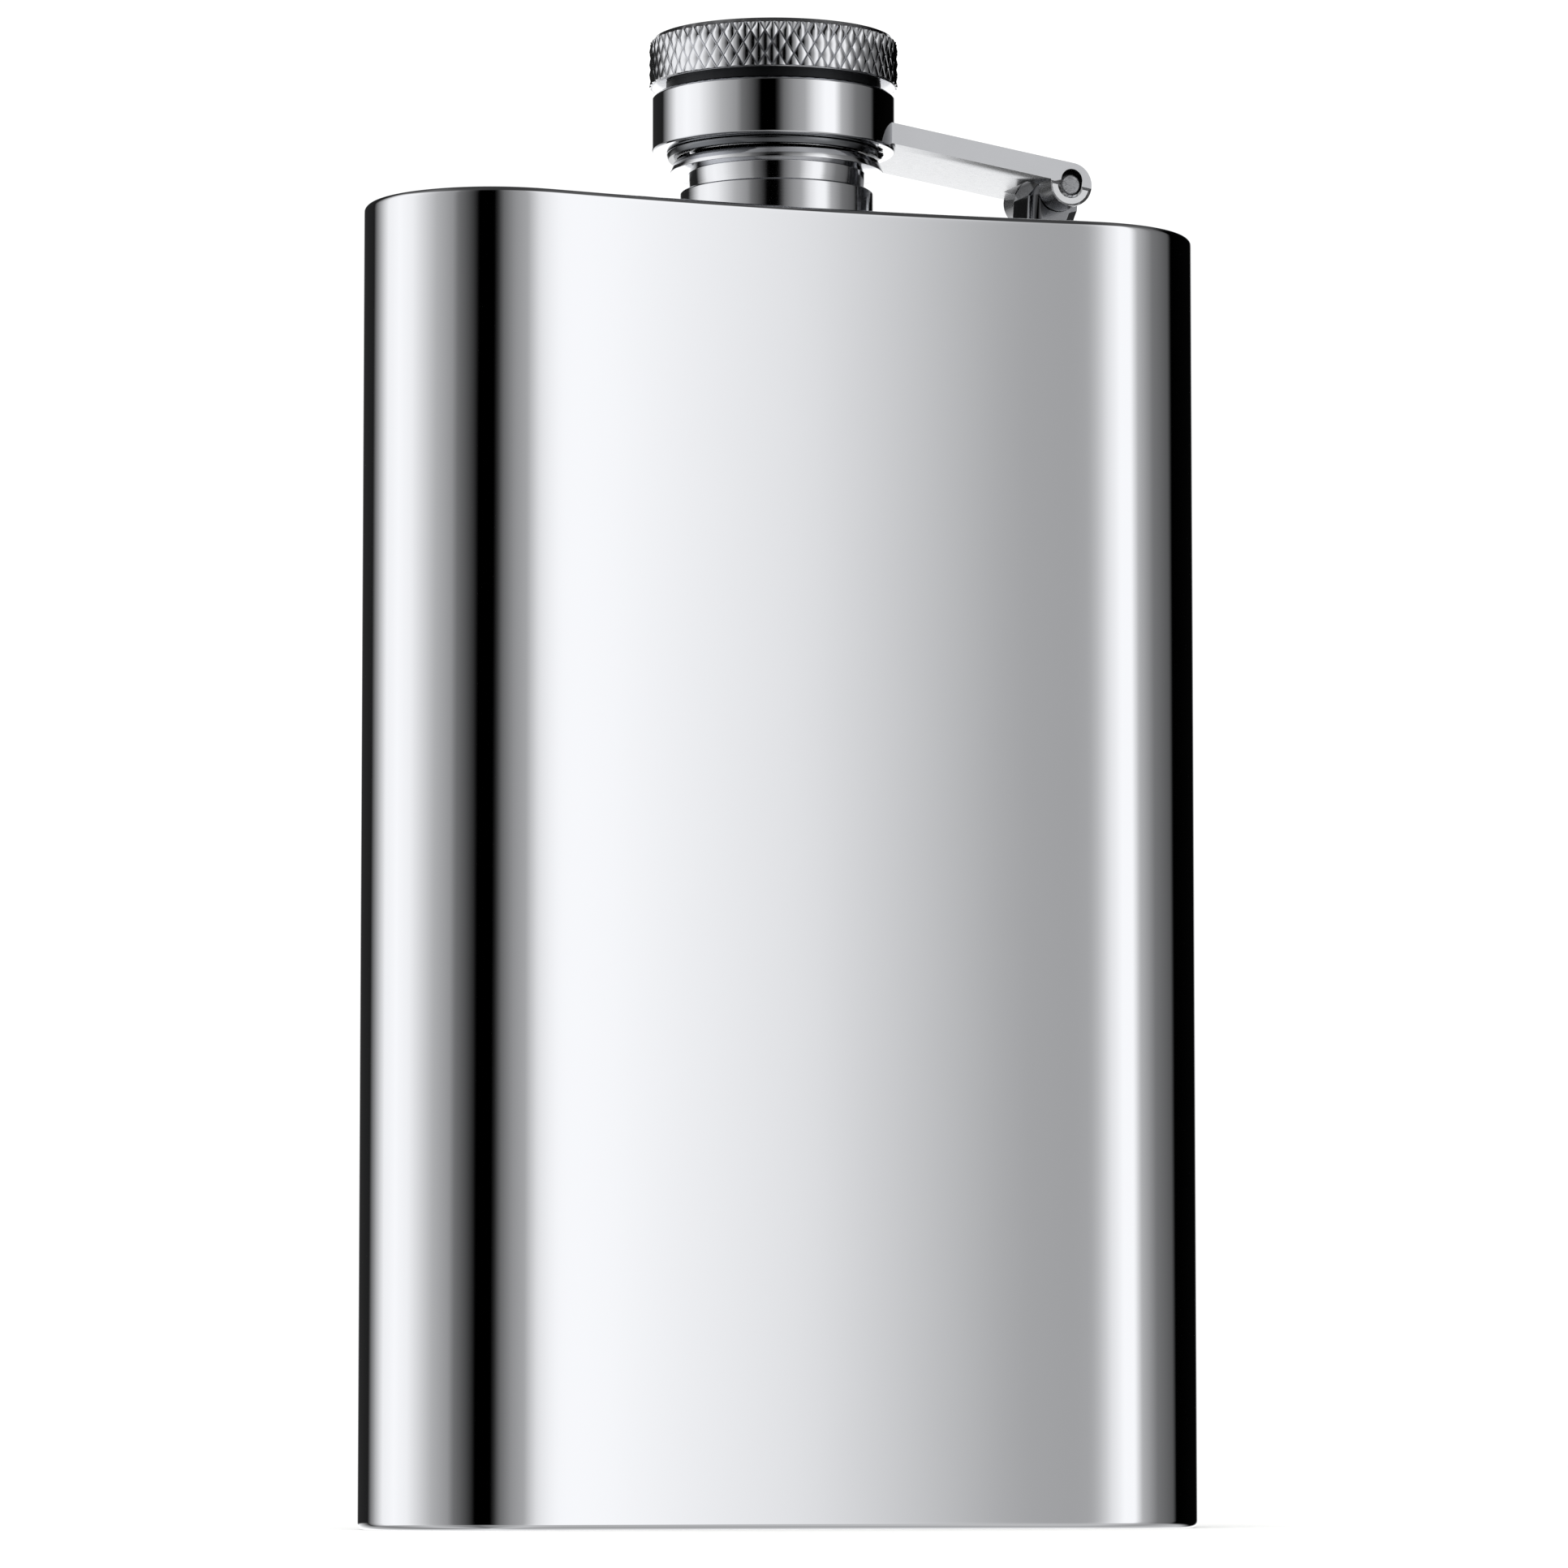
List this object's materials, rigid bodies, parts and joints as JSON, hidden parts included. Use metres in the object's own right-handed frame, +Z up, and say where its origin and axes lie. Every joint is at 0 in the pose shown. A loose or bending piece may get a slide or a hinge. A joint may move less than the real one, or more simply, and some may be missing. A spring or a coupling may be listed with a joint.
{
  "type": "hip flask",
  "caption": "Curved pocket flask in polished steel with a knurled captive screw cap on a hinged arm.",
  "frame": {"origin": "where the axis of the neck meets the flat surface the flask stands on", "axes": "+Z up along the neck, +X from the neck towards the hinge, +Y out of the bulging back, so the hollow face looks along -Y"},
  "size_m": [0.0758, 0.0248, 0.1311],
  "materials": {
    "polished_steel": "mirror polished stainless steel",
    "turned_steel": "turned stainless steel with fine tool marks",
    "knurled_steel": "diamond knurled and polished stainless steel",
    "arm_steel": "satin stainless steel",
    "pin_steel": "cut wire end",
    "seal_plastic": "natural polyethylene"
  },
  "bodies": {
    "flask": {"body_wall": "polished_steel", "shoulder_plate": "polished_steel", "base_plate": "polished_steel", "neck_spout": "turned_steel", "hinge_bracket": "polished_steel", "hinge_pin": "pin_steel"},
    "arm": {"cap_arm": "arm_steel", "captive_collar": "polished_steel"},
    "knob": {"threaded_insert": "turned_steel", "knurled_knob": "knurled_steel", "cap_liner": "seal_plastic"}
  },
  "joints": [
    {"name": "arm_swing", "type": "hinge", "parent": "flask", "child": "arm", "pos_m": [0.0257, 0, 0.11873], "axis": [0, 1, 0], "range_deg": [0, 180]},
    {"name": "knob_turn", "type": "hinge", "parent": "arm", "child": "knob", "pos_m": [-0.0003, 0, 0.126], "axis": [0, 0, 1], "continuous": true}
  ]
}
